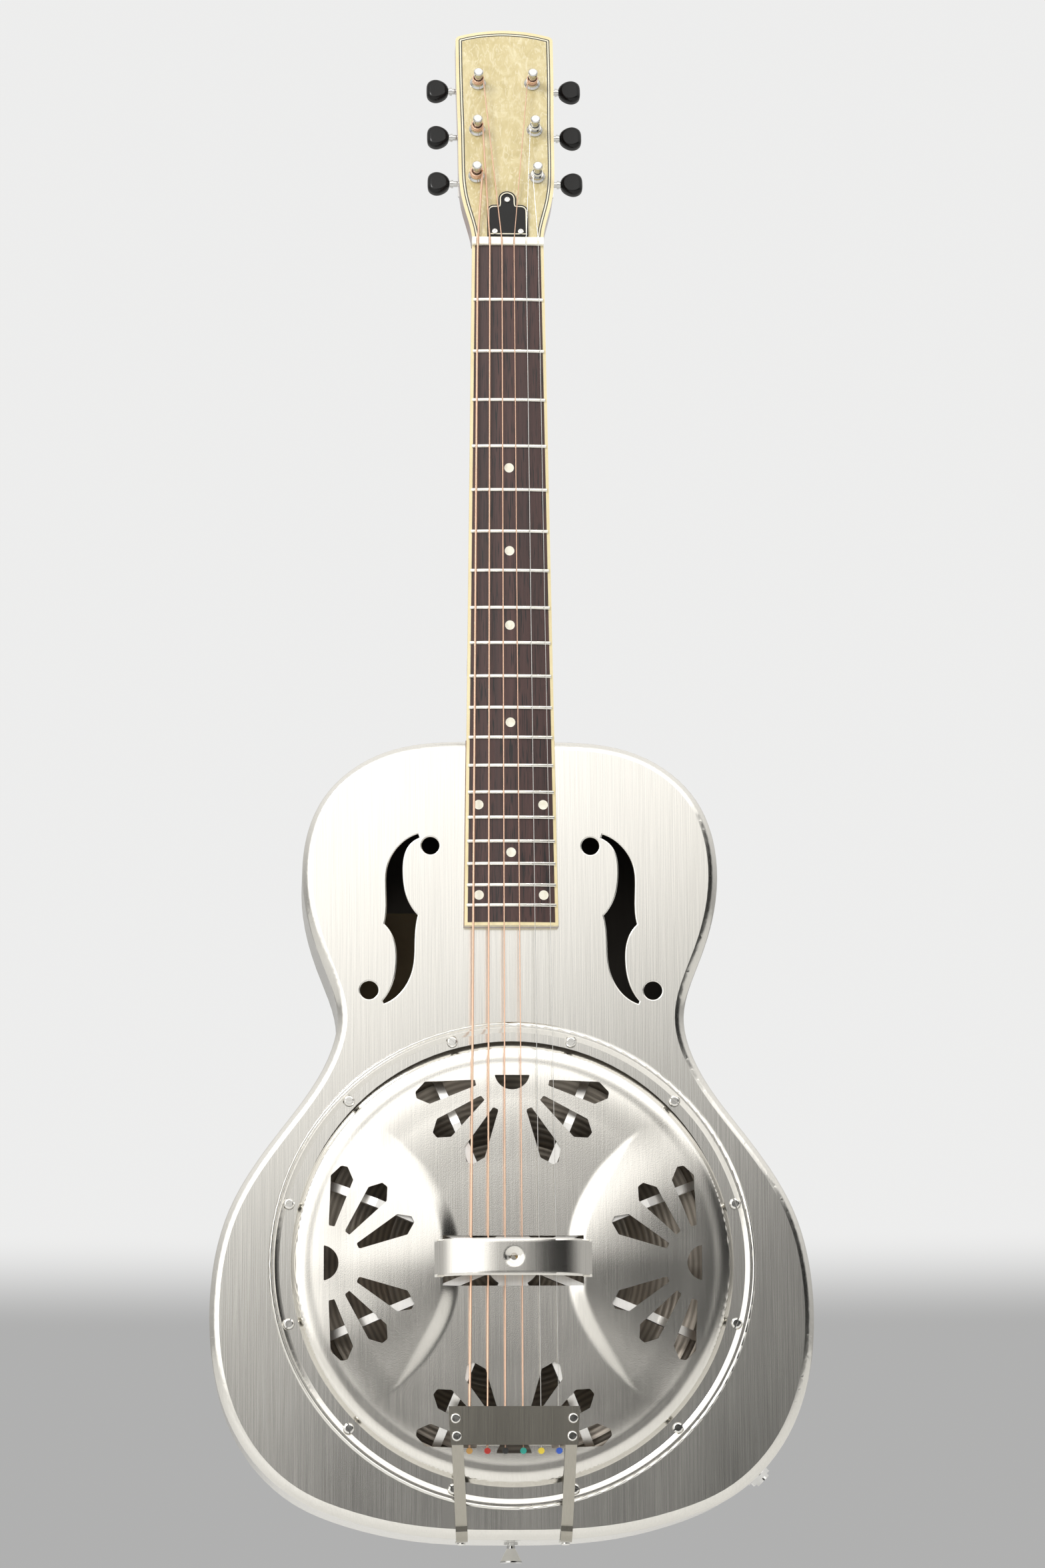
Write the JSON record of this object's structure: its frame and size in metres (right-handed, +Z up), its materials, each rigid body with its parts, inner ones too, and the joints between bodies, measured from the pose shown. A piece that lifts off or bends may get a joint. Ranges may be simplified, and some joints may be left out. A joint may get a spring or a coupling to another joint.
{
  "type": "resonator guitar",
  "caption": "Metal-bodied resonator guitar with a sunburst cover plate, sound holes, a fretted neck, geared tuners, strings and a strap-held tailpiece.",
  "frame": {"origin": "on the centre line at the tail of the body, half way through its depth, where a cradle stand holds it", "axes": "+X to the right of someone facing the guitar, -Y out of the playing face, +Z up the neck"},
  "size_m": [0.3694, 0.1045, 0.9782],
  "materials": {
    "black_gloss": "high gloss",
    "black_line": "gloss",
    "bone": "polished",
    "brass": "satin",
    "bronze_string": "wound",
    "cable": "matte",
    "cast_aluminium": "satin cast",
    "chrome": "polished",
    "cream": "gloss",
    "fret_nickel": "polished nickel silver",
    "mahogany": "gloss lacquer",
    "maple": "bare",
    "nickel": "lengthwise brushed nickel plate",
    "nickel_cover": "brushed nickel plate with fine speckle",
    "paper": "matte paper",
    "pearl_dot": "gloss",
    "pearloid": "gloss, pearl swirls",
    "rosewood": "open pored, oiled",
    "saddle_maple": "bare",
    "screw_chrome": "polished",
    "spun_aluminium": "spun, with fine rings",
    "steel": "satin",
    "steel_string": "plain",
    "tail_nickel": "satin nickel plate",
    "white_line": "gloss"
  },
  "bodies": {
    "guitar": {"ball_ends": "brass", "board_spacer": "mahogany", "body_back": "nickel", "body_side": "nickel", "body_top": "nickel", "cover_plate": "nickel_cover", "cover_plate_screws": "screw_chrome", "fretboard": "rosewood", "fretboard_binding": "cream", "frets": "fret_nickel", "head_screws": "screw_chrome", "headstock_binding": "cream", "headstock_overlay": "pearloid", "headstock_purfling_black": "black_line", "headstock_purfling_white": "white_line", "inside_label": "paper", "jack_bush": "chrome", "jack_nut": "chrome", "neck": "mahogany", "neck_block": "maple", "nut": "bone", "pickup_lead": "cable", "piezo_pickup": "brass", "plain_strings": "steel_string", "position_dots": "pearl_dot", "resonator_cone": "spun_aluminium", "saddle": "saddle_maple", "sound_well": "maple", "spider_bridge": "cast_aluminium", "strap_button": "chrome", "tail_block": "maple", "tail_screws": "screw_chrome", "tailpiece_plate": "tail_nickel", "tailpiece_rivets": "screw_chrome", "tailpiece_straps": "tail_nickel", "tension_screw": "steel", "truss_rod": "steel", "truss_rod_cover": "black_gloss", "tuner_bushings": "chrome", "tuner_plates": "chrome", "wound_strings": "bronze_string"},
    "key_1": {"tuner_worm_1": "chrome", "tuner_button_1": "black_gloss"},
    "post_1": {"tuner_post_1": "chrome"},
    "key_2": {"tuner_worm_2": "chrome", "tuner_button_2": "black_gloss"},
    "post_2": {"tuner_post_2": "chrome"},
    "key_3": {"tuner_worm_3": "chrome", "tuner_button_3": "black_gloss"},
    "post_3": {"tuner_post_3": "chrome"},
    "key_4": {"tuner_worm_4": "chrome", "tuner_button_4": "black_gloss"},
    "post_4": {"tuner_post_4": "chrome"},
    "key_5": {"tuner_worm_5": "chrome", "tuner_button_5": "black_gloss"},
    "post_5": {"tuner_post_5": "chrome"},
    "key_6": {"tuner_worm_6": "chrome", "tuner_button_6": "black_gloss"},
    "post_6": {"tuner_post_6": "chrome"}
  },
  "joints": [
    {"name": "key_1_turn", "type": "hinge", "parent": "guitar", "child": "key_1", "pos_m": [-0.0193, -0.0162, 0.8615], "axis": [1, 0, 0], "continuous": true},
    {"name": "post_1_turn", "type": "hinge", "parent": "guitar", "child": "post_1", "pos_m": [-0.0193, -0.03881, 0.85966], "axis": [0, -0.9703, 0.2419], "continuous": true},
    {"name": "key_2_turn", "type": "hinge", "parent": "guitar", "child": "key_2", "pos_m": [-0.0184, -0.0078, 0.89517], "axis": [1, 0, 0], "continuous": true},
    {"name": "post_2_turn", "type": "hinge", "parent": "guitar", "child": "post_2", "pos_m": [-0.0184, -0.03042, 0.89333], "axis": [0, -0.9703, 0.2419], "continuous": true},
    {"name": "key_3_turn", "type": "hinge", "parent": "guitar", "child": "key_3", "pos_m": [-0.0174, 0.00066, 0.92913], "axis": [1, 0, 0], "continuous": true},
    {"name": "post_3_turn", "type": "hinge", "parent": "guitar", "child": "post_3", "pos_m": [-0.0174, -0.02195, 0.92729], "axis": [0, -0.9703, 0.2419], "continuous": true},
    {"name": "key_4_turn", "type": "hinge", "parent": "guitar", "child": "key_4", "pos_m": [0.0174, 0.00066, 0.92913], "axis": [1, 0, 0], "continuous": true},
    {"name": "post_4_turn", "type": "hinge", "parent": "guitar", "child": "post_4", "pos_m": [0.0174, -0.02195, 0.92729], "axis": [0, -0.9703, 0.2419], "continuous": true},
    {"name": "key_5_turn", "type": "hinge", "parent": "guitar", "child": "key_5", "pos_m": [0.0184, -0.0078, 0.89517], "axis": [1, 0, 0], "continuous": true},
    {"name": "post_5_turn", "type": "hinge", "parent": "guitar", "child": "post_5", "pos_m": [0.0184, -0.03042, 0.89333], "axis": [0, -0.9703, 0.2419], "continuous": true},
    {"name": "key_6_turn", "type": "hinge", "parent": "guitar", "child": "key_6", "pos_m": [0.0193, -0.0162, 0.8615], "axis": [1, 0, 0], "continuous": true},
    {"name": "post_6_turn", "type": "hinge", "parent": "guitar", "child": "post_6", "pos_m": [0.0193, -0.03881, 0.85966], "axis": [0, -0.9703, 0.2419], "continuous": true}
  ],
  "couplings": [
    {"joint": "post_1_turn", "follows": "key_1_turn", "ratio": -0.055556},
    {"joint": "post_2_turn", "follows": "key_2_turn", "ratio": -0.055556},
    {"joint": "post_3_turn", "follows": "key_3_turn", "ratio": -0.055556},
    {"joint": "post_4_turn", "follows": "key_4_turn", "ratio": 0.055556},
    {"joint": "post_5_turn", "follows": "key_5_turn", "ratio": 0.055556},
    {"joint": "post_6_turn", "follows": "key_6_turn", "ratio": 0.055556}
  ]
}
